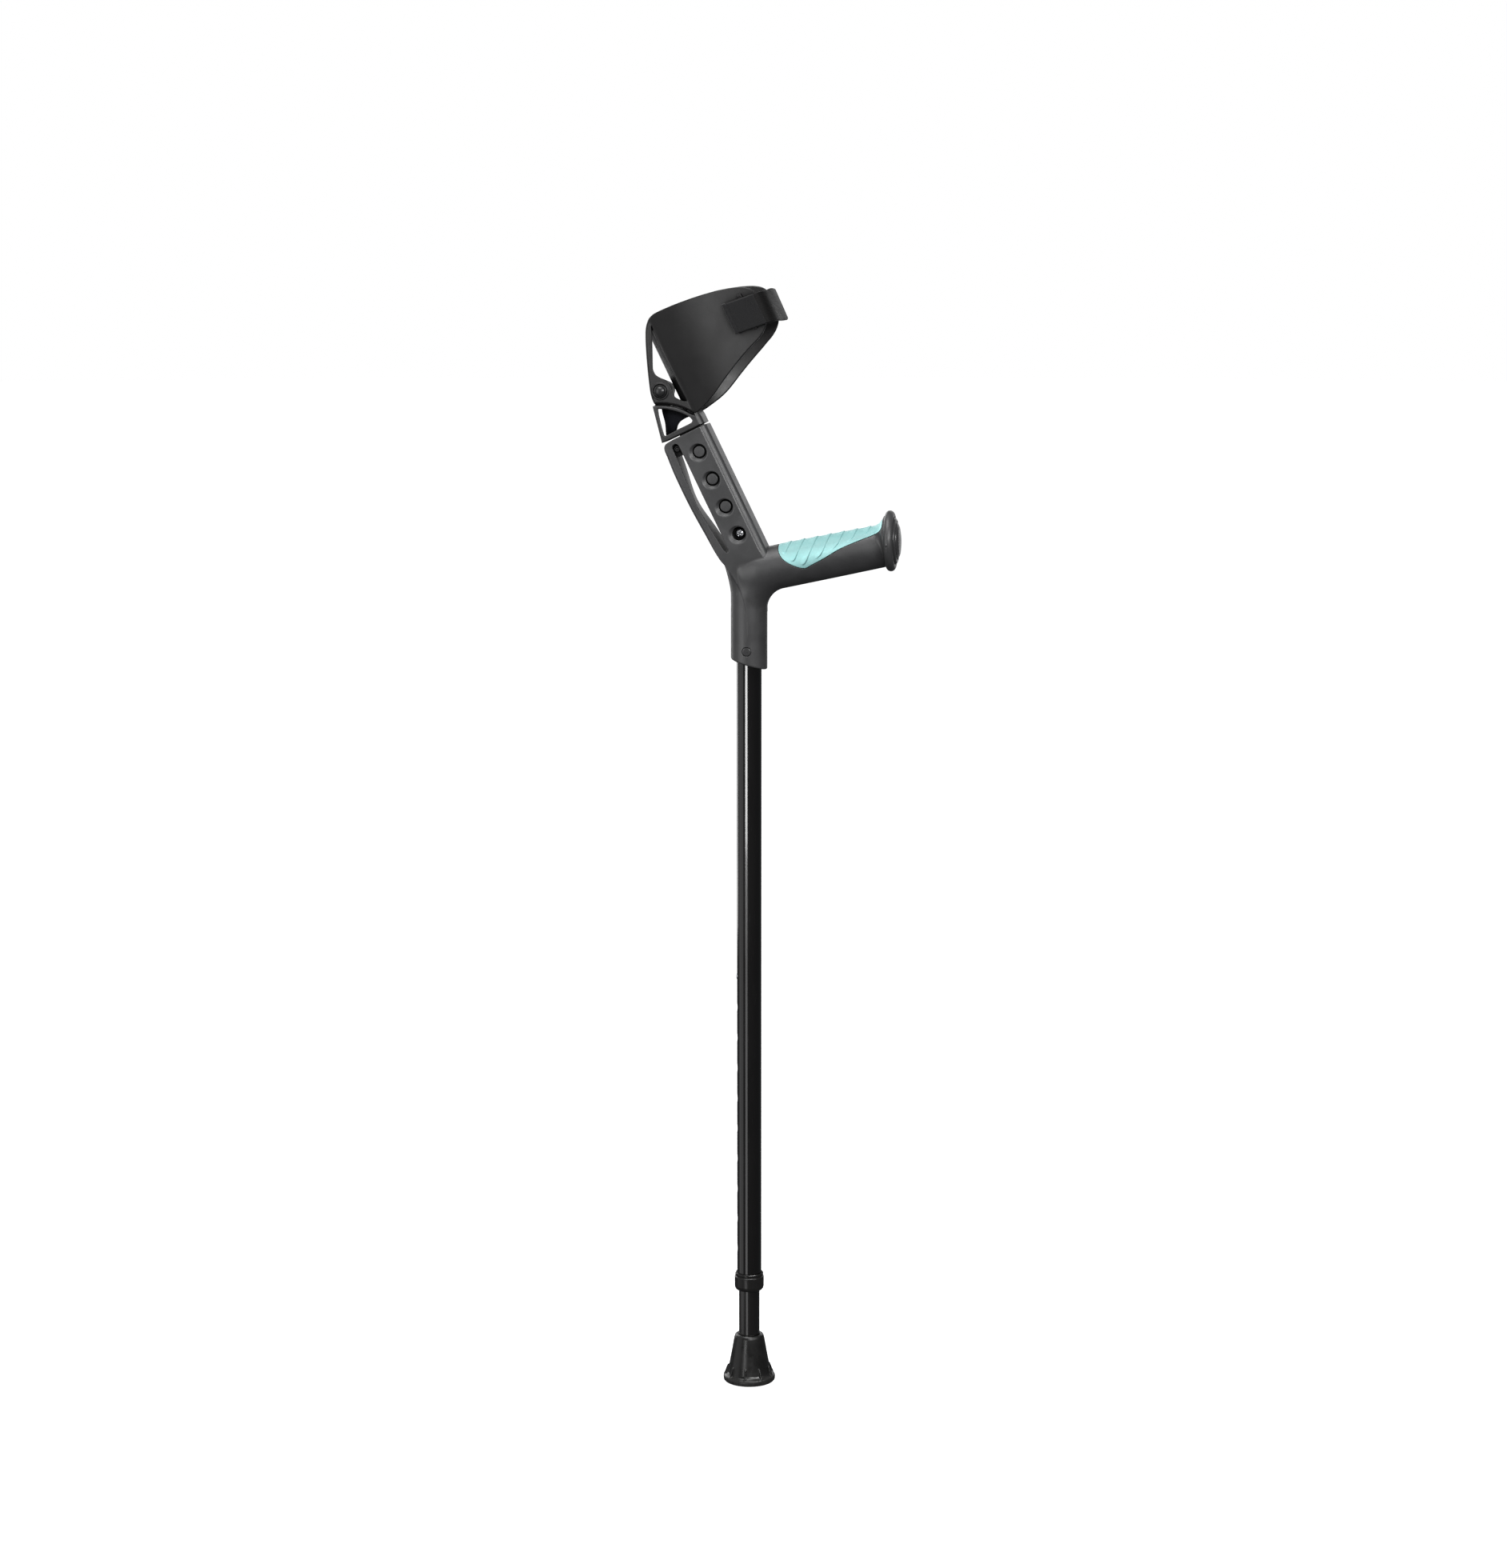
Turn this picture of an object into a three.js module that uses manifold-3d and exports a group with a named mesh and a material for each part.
// Forearm (elbow) crutch: telescopic leg, moulded handle, height-adjustable hinged arm cuff
// and closing strap.
// Millimetres, +Z up along the leg, +X towards the hand grip, Y across the crutch.
// "Near" is the -Y side, "far" the +Y side, "rear" faces -X.
// Origin: centre of the ferrule's sole, on the floor.
import * as THREE from "three";
import { mergeVertices } from "three/addons/utils/BufferGeometryUtils.js";
import Module from "manifold-3d";

const wasm = await Module();
wasm.setup();

// ---------------------------------------------------------------- driving dimensions
// leg tubes
const OUTER_TUBE_R = 10.0;
const OUTER_TUBE_BORE_R = 8.8;
const OUTER_TUBE_BOTTOM = 84.0;
const OUTER_TUBE_TOP = 664.0;
const INNER_TUBE_R = 8.5;
const INNER_TUBE_BORE_R = 7.3;
const INNER_TUBE_BOTTOM = 9.2;
const INNER_TUBE_TOP = 398.0;

// height setting of the leg
const SNAP_PITCH = 25.4;
const SNAP_HOLES = 10;
const SNAP_TOP_Z = 341.6;
const SNAP_HOLE_R = 3.8;
const BUTTON_R = 3.5;

// ferrule
const FOOT_R = 21.4;
const FOOT_HEIGHT = 40.7;

// post that takes the outer tube
const SOCKET_R = 14.65;
const SOCKET_BOTTOM = 595.0;
const SOCKET_TOP = 676.0; // where the post starts to narrow
const SOCKET_BORE_R = 10.25;
const RIVET_Z = 608.8;
const RIVET_BORE_R = 2.8;

// hand grip
const GRIP_START = [15.0, 674.2]; // x, z of a point on the grip's axis
const GRIP_RISE = 11.9; // degrees the grip rises towards its end
const GRIP_LENGTH = 96.0;
const GRIP_R_INNER = 17.6; // radius at the post
const GRIP_R_OUTER = 16.8; // radius at the flange
const PAD_START = 5.0; // along the grip's axis
const PAD_DEPTH = 2.2;
const PAD_CLEARANCE = 0.3;
const FLANGE_CENTRE = [113.7, 697.7]; // x, z
const FLANGE_TILT = 2.0; // degrees
const FLANGE_R = 24.1;

// forearm section
const FOREARM_TILT = 26.0; // degrees back from vertical
const SCREW_LOW = [-6.3, 703.0]; // x, z of the lowest height-setting hole
const SCREW_PITCH = 24.0;
const SCREW_HOLES = 4;
const SCREW_BORE_R = 2.75;
const SHELL_HALF = 14.5; // half width across Y
const SHELL_TOP = 89.5; // along the forearm axis from the lowest hole
const SHELL_FRONT = 15.4;
const SHELL_REAR = -25.6;
const CAVITY_HALF_X = 9.7;
const CAVITY_HALF_Y = 11.5;
const STEM_HALF_X = 9.2;
const STEM_HALF_Y = 11.1;

// cuff; the trough is in the forearm frame
const PIVOT = [-68.9, 814.9]; // x, z in the crutch's frame
const PIN_R = 3.0;
const LUG_HALF = 11.3; // half width of the hinge lug
const TROUGH_BACK = 2.2; // x of the trough's outer back
const TROUGH_DEPTH = 93.0; // back to the widest place
const TROUGH_HALF = 36.0; // half width at the front edges
const TROUGH_CENTRE = TROUGH_BACK + TROUGH_DEPTH;
const TROUGH_SEGMENTS = 30;
const CUFF_WALL = 2.4;
const PLATE_THICK = 2.2;

// strap; z along the forearm axis
const STRAP_WIDTH = 25.4;
const STRAP_THICK = 1.8;
const STRAP_MID = 152.6;
const STRAP_LOW = STRAP_MID - STRAP_WIDTH / 2;
const STRAP_HIGH = STRAP_MID + STRAP_WIDTH / 2;
const STRAP_STANDOFF = 2.5; // near wing to the webbing's inner face

// distances from y = 0 at which cutting tools end, clear of the material
const PAST_SIDES = 16;
const WELL_PAST_SIDES = 20;

// ---------------------------------------------------------------- geometry helpers
const QUARTER_TURN = Math.PI / 2;
const deg = THREE.MathUtils.degToRad;
const move = (x, y, z) => new THREE.Matrix4().makeTranslation(x, y, z);
const turnX = (angle) => new THREE.Matrix4().makeRotationX(angle);
const turnY = (angle) => new THREE.Matrix4().makeRotationY(angle);

function toSolid(geometry, matrix) {
  const bare = geometry.clone();
  bare.deleteAttribute("normal");
  bare.deleteAttribute("uv");
  if (matrix) bare.applyMatrix4(matrix);
  const welded = mergeVertices(bare, 1e-4);
  return new wasm.Manifold(
    new wasm.Mesh({
      numProp: 3,
      vertProperties: new Float32Array(welded.attributes.position.array),
      triVerts: new Uint32Array(welded.index.array),
    }),
  );
}

function toGeometry(solid) {
  const mesh = solid.getMesh();
  const points = new Float32Array(mesh.vertProperties);
  const geometry = new THREE.BufferGeometry();
  geometry.setAttribute("position", new THREE.BufferAttribute(points, 3));
  geometry.setIndex(new THREE.BufferAttribute(new Uint32Array(mesh.triVerts), 1));
  geometry.computeVertexNormals();
  return geometry;
}

const join = (...solids) => solids.reduce((sum, solid) => sum.add(solid));
const cut = (body, ...tools) => tools.reduce((rest, tool) => rest.subtract(tool), body);
const largestPiece = (solid) => solid.decompose().sort((a, b) => b.volume() - a.volume())[0];

// Outlines may be listed either way round.
function extrude(outline, depth) {
  const shape = new THREE.Shape(outline.map(([x, y]) => new THREE.Vector2(x, y)));
  return new THREE.ExtrudeGeometry(shape, { depth, bevelEnabled: false });
}

// A prism whose outline lies in the XZ plane, running across Y from y0 to y1.
function slab(outline, y0, y1, matrix) {
  const geometry = extrude(outline, y1 - y0);
  geometry.rotateX(QUARTER_TURN);
  geometry.translate(0, y1, 0);
  return toSolid(geometry, matrix);
}

// A slab centred on y = 0.
const midSlab = (outline, half, matrix) => slab(outline, -half, half, matrix);

// A prism whose outline lies in the XY plane, running up Z from z0 to z1.
function column(outline, z0, z1, matrix) {
  const geometry = extrude(outline, z1 - z0);
  geometry.translate(0, 0, z0);
  return toSolid(geometry, matrix);
}

// A solid of revolution about Z. The profile is [radius, z], listed up its outer side;
// it closes on the axis, or on its first point if that lies off the axis.
function turned(profile, segments = 32, matrix) {
  const points = profile.map(([radius, z]) => new THREE.Vector2(radius, z));
  if (profile[0][0] > 0) points.push(points[0].clone());
  const geometry = new THREE.LatheGeometry(points, segments);
  geometry.rotateX(QUARTER_TURN);
  // the axis points are made exactly zero so that they weld
  const positions = geometry.attributes.position;
  for (let i = 0; i < positions.count; i++) {
    if (Math.hypot(positions.getX(i), positions.getY(i)) < 1e-6) {
      positions.setX(i, 0);
      positions.setY(i, 0);
    }
  }
  return toSolid(geometry, matrix);
}

// Cylinder about Z from z0 to z1.
function rod(radius, z0, z1, segments = 32, matrix) {
  const geometry = new THREE.CylinderGeometry(radius, radius, z1 - z0, segments);
  geometry.rotateX(QUARTER_TURN);
  geometry.translate(0, 0, (z0 + z1) / 2);
  return toSolid(geometry, matrix);
}

// Cylinder across Y centred on x, z.
function crossRod(radius, x, z, y0, y1, segments = 24, matrix) {
  const geometry = new THREE.CylinderGeometry(radius, radius, y1 - y0, segments);
  geometry.translate(x, (y0 + y1) / 2, z);
  return toSolid(geometry, matrix);
}

function box(x0, x1, y0, y1, z0, z1, matrix) {
  const geometry = new THREE.BoxGeometry(x1 - x0, y1 - y0, z1 - z0);
  geometry.translate((x0 + x1) / 2, (y0 + y1) / 2, (z0 + z1) / 2);
  return toSolid(geometry, matrix);
}

// ---------------------------------------------------------------- frames
// Forearm frame: origin at the lowest hole, x forward out of the forearm section, z up along it.
const forearmMatrix = move(SCREW_LOW[0], 0, SCREW_LOW[1]).multiply(turnY(-deg(FOREARM_TILT)));

// Takes an [x, z] point of the crutch's frame into the forearm frame.
function toForearm([x, z]) {
  const sin = Math.sin(deg(FOREARM_TILT));
  const cos = Math.cos(deg(FOREARM_TILT));
  const dx = x - SCREW_LOW[0];
  const dz = z - SCREW_LOW[1];
  return [dx * cos + dz * sin, -dx * sin + dz * cos];
}

const [pivotX, pivotZ] = toForearm(PIVOT);
const pivotRod = (radius, y0, y1, segments) => crossRod(radius, pivotX, pivotZ, y0, y1, segments);

// Lays a solid of revolution along +X through a point, its +X end tilted up.
const alongX = ([x, z], tilt) =>
  move(x, 0, z).multiply(turnY(-deg(tilt))).multiply(turnY(QUARTER_TURN));
const gripMatrix = alongX(GRIP_START, GRIP_RISE);
const flangeMatrix = alongX(FLANGE_CENTRE, FLANGE_TILT);

// ---------------------------------------------------------------- materials
const standard = (settings) => new THREE.MeshStandardMaterial(settings);
const moulded = standard({ color: 0x2b2b2d, roughness: 0.42, metalness: 0 });
const cuffPlastic = standard({ color: 0x232325, roughness: 0.38, metalness: 0 });
const rubber = standard({ color: 0x101011, roughness: 0.35, metalness: 0 });
const tubePaint = standard({ color: 0x0c0b0b, roughness: 0.16, metalness: 0.35 });
const innerPaint = standard({ color: 0x111011, roughness: 0.22, metalness: 0.35 });
const softPad = standard({ color: 0x8fdcd8, roughness: 0.6, metalness: 0 });
const steel = standard({ color: 0xb9bcc0, roughness: 0.28, metalness: 1 });
const webbing = standard({ color: 0x1c1c1d, roughness: 0.9, metalness: 0 });
const fastener = standard({ color: 0x161617, roughness: 0.95, metalness: 0 });

// ---------------------------------------------------------------- leg
const tube = (radius, bore, bottom, top) =>
  cut(rod(radius, bottom, top), rod(bore, bottom - 1, top + 1));

// Tool along X for one snap hole in a tube's rear wall.
function snapHole(x, z) {
  const geometry = new THREE.CylinderGeometry(SNAP_HOLE_R, SNAP_HOLE_R, 7, 16);
  geometry.rotateZ(QUARTER_TURN);
  geometry.translate(x, 0, z);
  return toSolid(geometry);
}

// Outer tube with a row of snap holes down its rear wall.
function outerTube() {
  const snapHoles = [];
  for (let i = 0; i < SNAP_HOLES; i++) snapHoles.push(snapHole(-9, SNAP_TOP_Z - i * SNAP_PITCH));
  return cut(
    tube(OUTER_TUBE_R, OUTER_TUBE_BORE_R, OUTER_TUBE_BOTTOM, OUTER_TUBE_TOP),
    crossRod(RIVET_BORE_R, 0, RIVET_Z, -12, 12, 16),
    ...snapHoles,
  );
}

// Inner tube: slides in the outer one, with a single hole for the snap button.
const innerTube = () =>
  cut(
    tube(INNER_TUBE_R, INNER_TUBE_BORE_R, INNER_TUBE_BOTTOM, INNER_TUBE_TOP),
    snapHole(-8, SNAP_TOP_Z),
  );

// Plug closing the top end of the inner tube.
function innerTubePlug() {
  const top = INNER_TUBE_TOP;
  return turned([
    [0, top - 12], [6.4, top - 12], [6.9, top - 10.5], [6.9, top + 0.4],
    [8.2, top + 0.4], [8.2, top + 2.6], [7.4, top + 3.8], [0, top + 3.8],
  ]);
}

// Domed peg pointing to the rear, with a flange behind the inner tube's wall.
function snapButton() {
  // radius, distance from the leg's axis
  const profile = [
    [0, 4.8], [4.3, 4.8], [4.3, 5.6], [BUTTON_R, 5.6],
    [BUTTON_R, 9.3], [3.1, 9.95], [2.0, 10.4], [0, 10.6],
  ];
  return turned(profile, 24, move(0, 0, SNAP_TOP_Z).multiply(turnY(-QUARTER_TURN)));
}

// V-shaped leaf spring that pushes the button out through both tubes.
function snapSpring() {
  const leaf = 0.6; // thickness
  // x, z from the button's axis: down the outer face and back along the inner one
  const outline = [
    [-4.5, 5], [-4.5, -6], [-0.9, -44], [0.3, -46.5],
    [1.6, -47.2], [2.9, -46.4], [3.7, -44], [6.3, -2],
    [6.3 - leaf, -2], [3.7 - leaf, -43.8], [2.5, -45.8], [1.6, -46.4],
    [0.8, -45.9], [-0.9 + leaf, -43.8], [-4.5 + leaf, -6], [-4.5 + leaf, 5],
  ];
  return midSlab(outline.map(([x, z]) => [x, SNAP_TOP_Z + z]), 2.6);
}

// Collar over the outer tube's lower end; the inner tube runs through its floor.
const tubeEndCollar = () =>
  turned([
    [8.85, 77.2], [9.3, 76.6], [10.9, 76.6], [11.8, 77.6], [12.05, 79.4],
    [12.05, 87.4], [11.8, 88.0], [11.1, 88.2], [11.1, 88.9], [11.5, 89.2],
    [11.5, 90.4], [11.1, 90.9], [10.3, 90.9], [10.3, 83.7], [8.85, 83.7],
  ]);

// Ferrule with a socket for the inner tube and two ring grooves in its sole.
const rubberFoot = () =>
  turned([
    [0, 0], [5.5, 0], [6.2, 1.4], [8.0, 1.4], [8.7, 0],
    [13.0, 0], [13.7, 1.4], [15.5, 1.4], [16.2, 0], [20.0, 0],
    [21.1, 1.2], [FOOT_R, 3.4], [21.1, 5.2], [20.2, 6.2], [18.4, 8.0],
    [17.2, 9.8], [16.6, 12.0], [12.7, 35.2], [12.0, 38.6], [11.4, 40.0],
    [10.3, FOOT_HEIGHT], [8.8, FOOT_HEIGHT], [8.8, 7.4], [0, 7.4],
  ]);

// Disc just above the socket's floor, under the tube's end.
const footWasher = () => rod(8.3, 7.75, 8.9);

// ---------------------------------------------------------------- handle
// Side outline of the soft pad: its lower edge, closed well above the grip.
// x, z, then how far x and z move for each millimetre the outline grows.
const PAD_EDGE = [
  [24.4, 730, -1, 0], [24.4, 694.0, -1, 0], [25.4, 689.1, -1, -0.4],
  [28.8, 684.0, -0.8, -0.7], [33.5, 680.5, -0.5, -1], [39.9, 677.7, 0, -1],
  [45.0, 676.5, 0, -1], [48.2, 676.7, 0.3, -1], [52.6, 679.2, 0.5, -1],
  [62.2, 684.4, 0.5, -1], [74.9, 692.1, 0.4, -1], [90.0, 699.0, 0.4, -1],
  [102.0, 704.0, 0.5, -1], [106.4, 708.3, 1, -0.4], [107.0, 713.0, 1, 0],
  [107.0, 730, 1, 0],
];

// Tapered body of the grip, made smaller by `shrink`, between two places along its axis.
function gripBody(shrink, from, to) {
  const taper = (GRIP_R_OUTER - GRIP_R_INNER) / GRIP_LENGTH;
  const radius = (along) => GRIP_R_INNER + taper * along - shrink;
  return turned([[0, from], [radius(from), from], [radius(to), to], [0, to]], 36, gripMatrix);
}

// Layer under the pad's outline, between an outer grip body and a depth below the surface.
function padLayer(grow, outer, depth) {
  const outline = PAD_EDGE.map(([x, z, growX, growZ]) => [x + growX * grow, z + growZ * grow]);
  return midSlab(outline, WELL_PAST_SIDES).intersect(outer.subtract(gripBody(depth, -5, 110)));
}

// Forearm section: flat sides, rounded front, and a rear edge that curves down to the post.
function forearmShell() {
  // x, y in the forearm frame
  const section = [
    [SHELL_REAR - 2, -SHELL_HALF], [9.0, -SHELL_HALF + 0.4], [11.0, -SHELL_HALF],
    [12.8, -13.6], [14.6, -10.8], [SHELL_FRONT, -7.0],
    [SHELL_FRONT + 0.2, 0],
    [SHELL_FRONT, 7.0], [14.6, 10.8], [12.8, 13.6],
    [11.0, SHELL_HALF], [9.0, SHELL_HALF - 0.4], [SHELL_REAR - 2, SHELL_HALF],
  ];
  // x, z in the crutch's frame
  const sideOutline = [
    [-64.6, 774.0], [-66.1, 766.9], [-59.5, 751.7], [-52.5, 736.5], [-44.9, 721.3],
    [-36.5, 706.1], [-27.6, 690.8], [-21.5, 681.2], [-18.1, 677.6], [-11.0, 668.2],
    [-4.8, 657.4], [-0.7, 642.8], [0.6, 632.6], [0.6, 622.3], [3.4, 626.0],
    [4.8, 641.0], [9.0, 655.0], [14.0, 668.0], [16.0, 682.0], [30, 700],
    [-10, 800], [-66, 800],
  ];
  const prism = column(section, -60, SHELL_TOP, forearmMatrix);
  return prism.intersect(midSlab(sideOutline, SHELL_HALF));
}

// Post, grip with its rounded nose in the post, corner webs and end flange.
function handleSolids() {
  const post = rod(SOCKET_R, SOCKET_BOTTOM, SOCKET_TOP, 36);
  const postTop = turned(
    [[0, SOCKET_TOP], [SOCKET_R, SOCKET_TOP], [12.5, 684], [8, 690], [0, 692]],
    36,
  );
  const grip = turned(
    [
      [0, -24.5], [7, -24], [12, -21.6], [15.2, -17.5], [16.6, -12], [17.2, -4],
      [GRIP_R_INNER, 4], [GRIP_R_OUTER, GRIP_LENGTH], [0, GRIP_LENGTH],
    ],
    36,
    gripMatrix,
  );
  // two webs, one narrow and one wide, round the corner between grip and post
  const narrowWeb = midSlab(
    [
      [8, 636], [14.4, 637], [14.8, 644.7], [15.5, 647.9], [18.4, 652.5],
      [24.8, 657.7], [33.2, 660.6], [36, 672], [8, 672],
    ],
    9,
  );
  const wideWeb = midSlab(
    [
      [8, 642], [12.6, 643], [13.6, 649.5], [17.0, 655.2],
      [24.0, 660.4], [32, 664], [32, 672], [8, 672],
    ],
    12.6,
  );
  const flange = turned(
    [
      [0, -7], [16.6, -7], [18.4, -5.4], [20.4, -3.6], [22.6, -3.0],
      [23.8, -1.4], [FLANGE_R, 0.6], [23.6, 2.4], [22.2, 3.5], [20.4, 3.4],
      [19.2, 2.3], [18.7, 1.0], [0, 1.0],
    ],
    36,
    flangeMatrix,
  );
  return [post, postTop, grip, narrowWeb, wideWeb, flange];
}

// Height-setting holes: a wide bore and a shallow dish on the near side, a small bore on the far.
function screwHoleTools() {
  const tools = [];
  for (let i = 0; i < SCREW_HOLES; i++) {
    const z = i * SCREW_PITCH;
    const dish = new THREE.CylinderGeometry(4.9, 7.4, 1.5, 24);
    dish.translate(-0.8, -SHELL_HALF + 0.7, z - 0.7);
    tools.push(
      crossRod(4.75, 0, z, -PAST_SIDES, -11, 24, forearmMatrix),
      crossRod(3.6, 0, z, 11, PAST_SIDES, 16, forearmMatrix),
      toSolid(dish, forearmMatrix),
    );
  }
  return tools;
}

// Rivet bore with a counterbore on each side.
function rivetHoleTools() {
  const headBoreR = 3.95;
  const headSeat = 12.7;
  return [
    crossRod(RIVET_BORE_R, 0, RIVET_Z, -PAST_SIDES, PAST_SIDES, 16),
    crossRod(headBoreR, 0, RIVET_Z, -PAST_SIDES, -headSeat),
    crossRod(headBoreR, 0, RIVET_Z, headSeat, PAST_SIDES),
  ];
}

function handleFrame() {
  const tubeBore = rod(SOCKET_BORE_R, SOCKET_BOTTOM - 1, 666.5);
  // trims the post's lower end at a slant
  const slantedEnd = midSlab(
    [[-20, 585], [20, 585], [20, 593.4], [15, 594.6], [-15, 600.8], [-20, 601.8]],
    WELL_PAST_SIDES,
  );
  const stemCavity = box(
    -CAVITY_HALF_X, CAVITY_HALF_X, -CAVITY_HALF_Y, CAVITY_HALF_Y, -13.5, SHELL_TOP + 2,
    forearmMatrix,
  );
  // long slot across Y, between the cavity and the rear edge; x, z in the forearm frame
  const rearSlot = midSlab(
    [
      [-14.6, 85.4], [-16.8, 85.2], [-18.1, 83.4], [-18.4, 74.7],
      [-19.4, 52.8], [-20.1, 32.2], [-18.9, 14.7], [-16.8, -7.2],
      [-15.4, -9.6], [-13.8, -9.4], [-12.9, -7.4], [-12.9, 83.2],
    ],
    WELL_PAST_SIDES,
    forearmMatrix,
  );
  const capBore = turned([[0, -18], [8.4, -18], [8.4, 2], [0, 2]], 24, flangeMatrix);
  // step in the grip that the soft pad fills
  const padRecess = padLayer(
    PAD_CLEARANCE,
    gripBody(-1, PAD_START, GRIP_LENGTH + 3),
    PAD_DEPTH + PAD_CLEARANCE,
  );
  const body = cut(
    join(forearmShell(), ...handleSolids()),
    tubeBore,
    slantedEnd,
    stemCavity,
    rearSlot,
    capBore,
    padRecess,
    ...screwHoleTools(),
    ...rivetHoleTools(),
  );
  return largestPiece(body);
}

// Soft palm pad on top of the grip, cut clear of the flange.
function gripPad() {
  const pad = padLayer(0, gripBody(0, PAD_START, GRIP_LENGTH), PAD_DEPTH);
  const flangeClearance = turned(
    [[0, -8.2], [17.6, -8.2], [19.6, -6.4], [26, -4.4], [26, 4], [0, 4]],
    32,
    flangeMatrix,
  );
  return largestPiece(cut(pad, flangeClearance));
}

// Cap in the grip's open end.
const gripEndCap = () =>
  turned(
    [
      [0, -14], [7.4, -14], [8.0, -12.8], [8.0, 1.35], [18.2, 1.35],
      [18.3, 3.2], [17.6, 4.6], [16.4, 5.2], [15.6, 4.9], [14.8, 5.6],
      [11, 7.0], [5.5, 7.8], [0, 8.1],
    ],
    32,
    flangeMatrix,
  );

// Rivet across the post and the outer tube.
const socketRivet = () =>
  turned(
    [
      [0, -14.2], [2.4, -14.1], [3.65, -13.7], [3.65, -13.0], [2.5, -13.0],
      [2.5, 13.0], [3.65, 13.0], [3.65, 13.7], [2.4, 14.1], [0, 14.2],
    ],
    24,
    move(0, 0, RIVET_Z).multiply(turnX(QUARTER_TURN)),
  );

// ---------------------------------------------------------------- cuff carrier (forearm frame)
// Plug in the near end of a height-setting hole, counted up from the lowest hole.
const holePlug = (hole) => crossRod(4.4, 0, hole * SCREW_PITCH, -13.9, -11.7);

// Open bracket under the cuff, with a rounded front and a thin web in its window.
function carrierBracket() {
  const foot = 90.9;
  // [x, z] of the crutch's frame, taken into the forearm frame
  const topEdge = [
    [-74.2, 803.1], [-72.6, 803.4], [-62.7, 803.2], [-55.5, 801.8], [-49.5, 799.6],
    [-44.0, 796.9], [-41.4, 796.3], [-38.6, 797.4], [-36.1, 799.3],
  ].map(toForearm);
  const window = [
    [-71.2, 800.0], [-62.7, 800.4], [-53.1, 798.1], [-45.6, 794.4],
    [-43.2, 791.3], [-44.4, 789.0], [-65.2, 779.1], [-66.4, 780.4],
  ].map(toForearm);
  const web = [
    [-69.4, 801.5], [-58.8, 802.0], [-47.6, 797.0], [-52.5, 791.0],
    [-57.4, 784.6], [-60.4, 779.6], [-64.0, 777.9], [-65.6, 780.6],
  ].map(toForearm);
  // x, y
  const section = [
    [-26, -14.3], [10.6, -14.3], [12.6, -13.4], [14.4, -10.6], [15.2, -6.8],
    [15.4, 0],
    [15.2, 6.8], [14.4, 10.6], [12.6, 13.4], [10.6, 14.3], [-26, 14.3],
  ];
  const ring = cut(
    midSlab([[-23.0, foot], ...topEdge, [15.0, foot]], SHELL_HALF - 0.2),
    midSlab(window, WELL_PAST_SIDES),
  );
  return [ring.intersect(column(section, 80, 140)), midSlab(web, 3)];
}

// Stem that slides in the forearm section, with a channel down each side.
function carrierStem() {
  const channelHalfX = 5.4;
  const channelFloor = 7.8;
  const channelTop = 87;
  return cut(
    box(-STEM_HALF_X, STEM_HALF_X, -STEM_HALF_Y, STEM_HALF_Y, -10.5, 95),
    box(-channelHalfX, channelHalfX, -12, -channelFloor, -12, channelTop),
    box(-channelHalfX, channelHalfX, channelFloor, 12, -12, channelTop),
    crossRod(SCREW_BORE_R, 0, 0, -12, 12, 16),
  );
}

function cuffCarrier() {
  const lugEye = pivotRod(7.2, -LUG_HALF, LUG_HALF, 28);
  const lugNeck = midSlab(
    [[-75.4, 812.0], [-73.0, 801.5], [-61.4, 801.5], [-62.4, 812.0]].map(toForearm),
    LUG_HALF,
  );
  return cut(
    join(...carrierBracket(), lugEye, lugNeck, carrierStem()),
    pivotRod(PIN_R + 0.1, -13, 13),
  );
}

// Screw that locks the stem at the lowest hole, its cross-slotted head on the near side.
function lockScrew() {
  const screw = turned(
    [
      [0, -11.0], [2.45, -11.0], [2.45, 8.1], [4.0, 8.1],
      [4.0, 9.2], [3.3, 10.2], [0, 10.6],
    ],
    24,
    turnX(QUARTER_TURN),
  );
  const long = 2.3; // half length of a drive slot
  const thin = 0.45; // half width of a drive slot
  return cut(
    screw,
    box(-long, long, -11, -9.3, -thin, thin),
    box(-thin, thin, -11, -9.3, -long, long),
  );
}

// Hexagonal nut at the screw's far end.
const lockNut = () => cut(crossRod(4.6, 0, 0, 8.1, 10.7, 6), crossRod(SCREW_BORE_R, 0, 0, 7, 12));

// ---------------------------------------------------------------- arm cuff (forearm frame)
// Half an ellipse, open towards +X, as a closed solid between two heights.
function trough(grow, z0, z1) {
  const depth = TROUGH_DEPTH + grow;
  const half = TROUGH_HALF + grow;
  const frontX = TROUGH_CENTRE + 30;
  const points = [[frontX, half]];
  for (let i = 0; i <= TROUGH_SEGMENTS; i++) {
    const angle = Math.PI / 2 + (Math.PI * i) / TROUGH_SEGMENTS;
    points.push([TROUGH_CENTRE + depth * Math.cos(angle), half * Math.sin(angle)]);
  }
  points.push([frontX, -half]);
  return column(points, z0, z1);
}

// Distance of the trough's outer face from y = 0, at a given x.
function wallY(x) {
  if (x >= TROUGH_CENTRE) return TROUGH_HALF;
  return TROUGH_HALF * Math.sqrt(1 - ((TROUGH_CENTRE - x) / TROUGH_DEPTH) ** 2);
}

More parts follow.
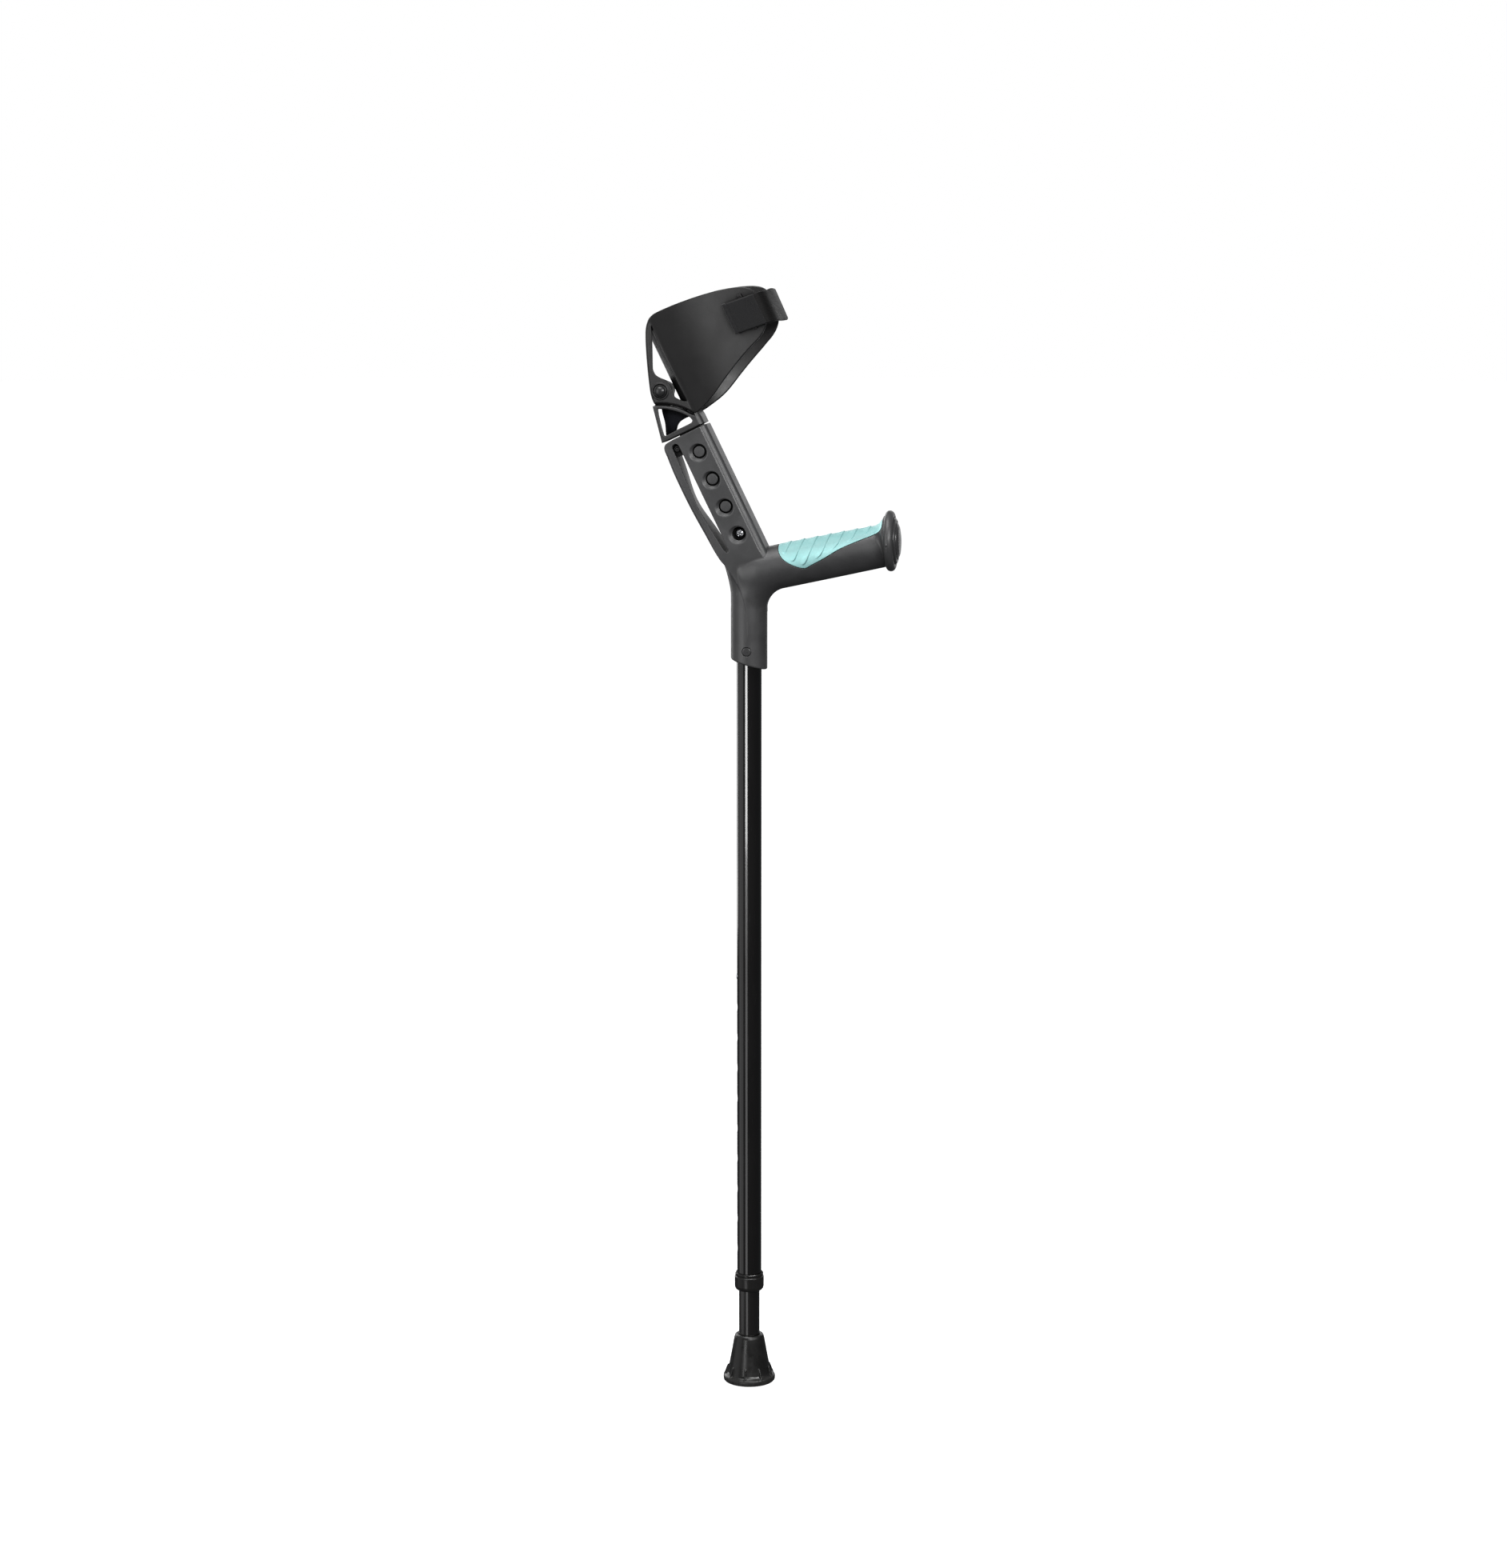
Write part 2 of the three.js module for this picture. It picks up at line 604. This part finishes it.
// Cuff outlines: [x, z] of the crutch's frame, taken into the forearm frame.
const CUFF_SIDE = [
  [-74.2, 805.3], [-76.6, 811.0], [-77.6, 816.0], [-79.5, 833.2], [-80.8, 850.0],
  [-80.8, 861.3], [-79.8, 867.6], [-77.3, 872.2], [-73.9, 875.3], [-67.2, 878.4],
  [-55.8, 882.9], [-38.7, 888.8], [-21.6, 893.7], [-10, 896.0], [-1, 896.9],
  [6.0, 895.6], [12.5, 890.8], [17.0, 883.0], [18.9, 875.0], [18.6, 868.0],
  [16.6, 862.0], [12.5, 856.4], [6.0, 849.9], [-0.5, 842.8], [-8.4, 833.4],
  [-15.0, 825.0], [-22.6, 814.8], [-29.5, 806.8], [-34.5, 802.2], [-38.5, 799.2],
  [-41.6, 798.0], [-44.6, 798.9], [-49.8, 801.3], [-55.6, 803.2], [-62.7, 804.3],
  [-68.5, 804.0], [-72.6, 804.4],
].map(toForearm);
const REAR_WALL = [
  [-77.8, 830.0], [-79.5, 833.2], [-80.8, 850.0], [-80.8, 861.3], [-79.8, 867.6],
  [-77.3, 872.2], [-73.9, 875.3], [-66, 879], [-60, 872], [-75.0, 864.5],
  [-77.9, 858.0], [-77.6, 845.0], [-76.2, 829.6],
].map(toForearm);
const SIDE_WINDOW = [
  [-76.3, 866.0], [-76.8, 858.2], [-75.9, 832.5], [-74.6, 830.2], [-72.4, 827.0],
  [-68.6, 825.2], [-65.0, 824.0], [-61.8, 821.0], [-59.2, 816.6], [-58.4, 813.4],
  [-56.6, 810.5], [-54.0, 808.9], [-48.4, 807.4], [-53.2, 817.2], [-61.0, 832.6],
  [-68.6, 847.6], [-73.8, 860.2],
].map(toForearm);

function armCuff() {
  // heights that clear the side outline, and tools that pass beyond them
  const low = 60;
  const high = 230;
  const troughTool = (grow) => trough(grow, low - 5, high + 5);
  const spineBlock = (half) => box(-40, 16, -half, half, low, high);

  const side = midSlab(CUFF_SIDE, 60);
  const armSpace = troughTool(-CUFF_WALL);
  // hollow between the two side plates, behind the trough
  const spineHollow = cut(spineBlock(SHELL_HALF - PLATE_THICK), troughTool(0));
  const shell = join(trough(0, low, high), spineBlock(SHELL_HALF)).intersect(side);
  // closes the spine's back above the hinge
  const rearWall = midSlab(REAR_WALL, SHELL_HALF).intersect(side).subtract(armSpace);
  // passes through both side plates but not the trough
  const windowTool = cut(midSlab(SIDE_WINDOW, WELL_PAST_SIDES), troughTool(0.2));

  const capSeat = 13.9;
  const cuff = cut(
    join(cut(shell, armSpace, spineHollow), rearWall),
    windowTool,
    pivotRod(PIN_R + 0.3, -PAST_SIDES, PAST_SIDES),
    pivotRod(5.9, -PAST_SIDES, -capSeat),
    pivotRod(5.9, capSeat, PAST_SIDES),
  );
  return largestPiece(cuff);
}

const hingePin = () => pivotRod(PIN_R, -14.8, 14.8);

// Domed cap on one end of the hinge pin; side is -1 near, +1 far.
function hingeCap(side) {
  // radius, distance from y = 0
  const profile = [
    [0, 15.1], [3.3, 15.1], [3.3, 14.2], [5.5, 14.2], [5.5, 14.9], [4.9, 15.4],
    [4.3, 15.2], [4.1, 15.6], [3.0, 16.7], [1.4, 17.3], [0, 17.5],
  ];
  return turned(profile, 20, move(pivotX, 0, pivotZ).multiply(turnX(-side * QUARTER_TURN)));
}

// Thin washer between the carrier's lug and the cuff's side plate.
function hingeWasher(side) {
  const halfThick = 0.2;
  const mid = side * 11.8;
  return cut(pivotRod(6.2, mid - halfThick, mid + halfThick), pivotRod(PIN_R + 0.3, -14, 14));
}

// ---------------------------------------------------------------- strap (forearm frame)
const BAR_GAP = 0.3; // wing to bar
const BAR_HALF_X = 1.5;
const NEAR_BAR = { x: 85.6, reach: 1.9 }; // reach: how far the bar stands out past the gap
const FAR_BAR = { x: 88.0, reach: 5.2, radius: 1.5 };
const FAR_BAR_Y = wallY(FAR_BAR.x) + BAR_GAP + FAR_BAR.reach - FAR_BAR.radius;

// Patch that follows the near wing under the strap's free end.
function fastenerPatch() {
  const [start, end] = [72.5, 83.0];
  const gap = 0.3;
  const thick = 1.1;
  const steps = 6;
  const inner = [];
  const outer = [];
  for (let i = 0; i <= steps; i++) {
    const x = start + ((end - start) * i) / steps;
    inner.push([x, -(wallY(x) + gap)]);
    outer.push([x, -(wallY(x) + gap + thick)]);
  }
  return column([...inner, ...outer.reverse()], STRAP_LOW + 1, STRAP_HIGH - 1);
}

// The two ends of a strap bar, just below and above the strap.
const barEnds = (x, y0, y1) =>
  [STRAP_LOW - 2.1, STRAP_HIGH + 0.3].map((z) =>
    box(x - BAR_HALF_X, x + BAR_HALF_X, y0, y1, z, z + 1.8),
  );

// Flat bar close to the near wing.
function nearStrapBar() {
  const { x, reach } = NEAR_BAR;
  const foot = wallY(x) + BAR_GAP;
  const top = -(foot + reach);
  const span = box(
    x - BAR_HALF_X, x + BAR_HALF_X, top, -(foot + 0.3), STRAP_LOW - 1, STRAP_HIGH + 1,
  );
  return join(span, ...barEnds(x, top, -foot));
}

// Round bar standing off the far wing.
function farStrapBar() {
  const { x, reach, radius } = FAR_BAR;
  const foot = wallY(x) + BAR_GAP;
  const span = rod(radius, STRAP_LOW - 1, STRAP_HIGH + 1, 20, move(x, FAR_BAR_Y, 0));
  return join(span, ...barEnds(x, foot, foot + reach));
}

// Outline of a ribbon with a given half thickness about an [x, y] centreline.
function ribbon(line, half) {
  const offset = (distance) =>
    line.map(([x, y], i) => {
      const before = line[Math.max(0, i - 1)];
      const after = line[Math.min(line.length - 1, i + 1)];
      const dx = after[0] - before[0];
      const dy = after[1] - before[1];
      const length = Math.hypot(dx, dy);
      return [x + (dy / length) * distance, y - (dx / length) * distance];
    });
  return [...offset(-half), ...offset(half).reverse()];
}

// Points a given distance outside the near wing.
const besideNearWing = (stations, distance) => stations.map((x) => [x, -(wallY(x) + distance)]);

// Webbing: lies over the near wing, crosses the open front and loops round the far bar.
function strapBand() {
  const half = STRAP_THICK / 2;
  const loopR = 1.9; // inside the loop
  // x, y from the free end forward, then round the front to the far bar
  const centreline = [
    ...besideNearWing([71.2, 74, 77, 80, 83, 86, 89, 92, 95], STRAP_STANDOFF + half),
    [99.4, -37.9], [102.4, -34.9], [104.4, -30.4], [105.6, -24.0], [106.3, -14.0],
    [106.6, 0],
    [106.3, 14.0], [105.4, 24.0], [103.8, 31.0], [101.2, 36.4], [97.6, 40.4], [93.4, 42.6],
    [FAR_BAR.x + 0.6, FAR_BAR_Y + loopR + half],
  ];
  const run = column(ribbon(centreline, half), STRAP_LOW, STRAP_HIGH);
  const loopAt = move(FAR_BAR.x, FAR_BAR_Y, 0);
  return cut(
    join(run, rod(loopR + STRAP_THICK, STRAP_LOW, STRAP_HIGH, 28, loopAt)),
    rod(loopR, STRAP_LOW - 1, STRAP_HIGH + 1, 28, loopAt),
  );
}

// Fastener tab on the outside of the strap's free end.
function strapEndTab() {
  const half = 0.6; // half thickness
  const gap = 0.3;
  const line = besideNearWing(
    [70.6, 73, 76, 79, 82, 85, 88, 91, 93.5],
    STRAP_STANDOFF + STRAP_THICK + gap + half,
  );
  return column(ribbon(line, half), STRAP_LOW + 0.2, STRAP_HIGH - 0.2);
}

// ---------------------------------------------------------------- assembly
const crutch = new THREE.Group();
const legGroup = new THREE.Group();
const handleGroup = new THREE.Group();
const forearmGroup = new THREE.Group();
const cuffGroup = new THREE.Group();
const strapGroup = new THREE.Group();
forearmGroup.position.set(SCREW_LOW[0], 0, SCREW_LOW[1]);
forearmGroup.rotation.y = -deg(FOREARM_TILT);
crutch.add(legGroup, handleGroup, forearmGroup);

function place(group, name, solid, material) {
  const mesh = new THREE.Mesh(toGeometry(solid), material.clone());
  mesh.name = name;
  group.add(mesh);
}

place(legGroup, "outer_tube", outerTube(), tubePaint);
place(legGroup, "inner_tube", innerTube(), innerPaint);
place(legGroup, "inner_tube_end_plug", innerTubePlug(), moulded);
place(legGroup, "snap_button", snapButton(), steel);
place(legGroup, "snap_spring", snapSpring(), steel);
place(legGroup, "tube_end_collar", tubeEndCollar(), moulded);
place(legGroup, "rubber_foot", rubberFoot(), rubber);
place(legGroup, "foot_washer", footWasher(), steel);

place(handleGroup, "handle_frame", handleFrame(), moulded);
place(handleGroup, "grip_pad", gripPad(), softPad);
place(handleGroup, "grip_end_cap", gripEndCap(), moulded);
place(handleGroup, "socket_rivet", socketRivet(), moulded);

forearmGroup.add(cuffGroup);
["lower", "middle", "upper"].forEach((word, i) => {
  place(forearmGroup, "hole_plug_" + word, holePlug(i + 1), moulded);
});
place(forearmGroup, "cuff_carrier", cuffCarrier(), moulded);
place(forearmGroup, "lock_screw", lockScrew(), steel);
place(forearmGroup, "lock_nut", lockNut(), steel);
forearmGroup.add(strapGroup);

place(cuffGroup, "arm_cuff", armCuff(), cuffPlastic);
place(cuffGroup, "hinge_pin", hingePin(), steel);
for (const [word, side] of [["near", -1], ["far", 1]]) {
  place(cuffGroup, "hinge_cap_" + word, hingeCap(side), moulded);
  place(cuffGroup, "hinge_washer_" + word, hingeWasher(side), steel);
}
place(cuffGroup, "cuff_fastener_patch", fastenerPatch(), fastener);
place(cuffGroup, "strap_bar_near", nearStrapBar(), cuffPlastic);
place(cuffGroup, "strap_bar_far", farStrapBar(), cuffPlastic);

place(strapGroup, "strap_band", strapBand(), webbing);
place(strapGroup, "strap_end_tab", strapEndTab(), fastener);

export default crutch;
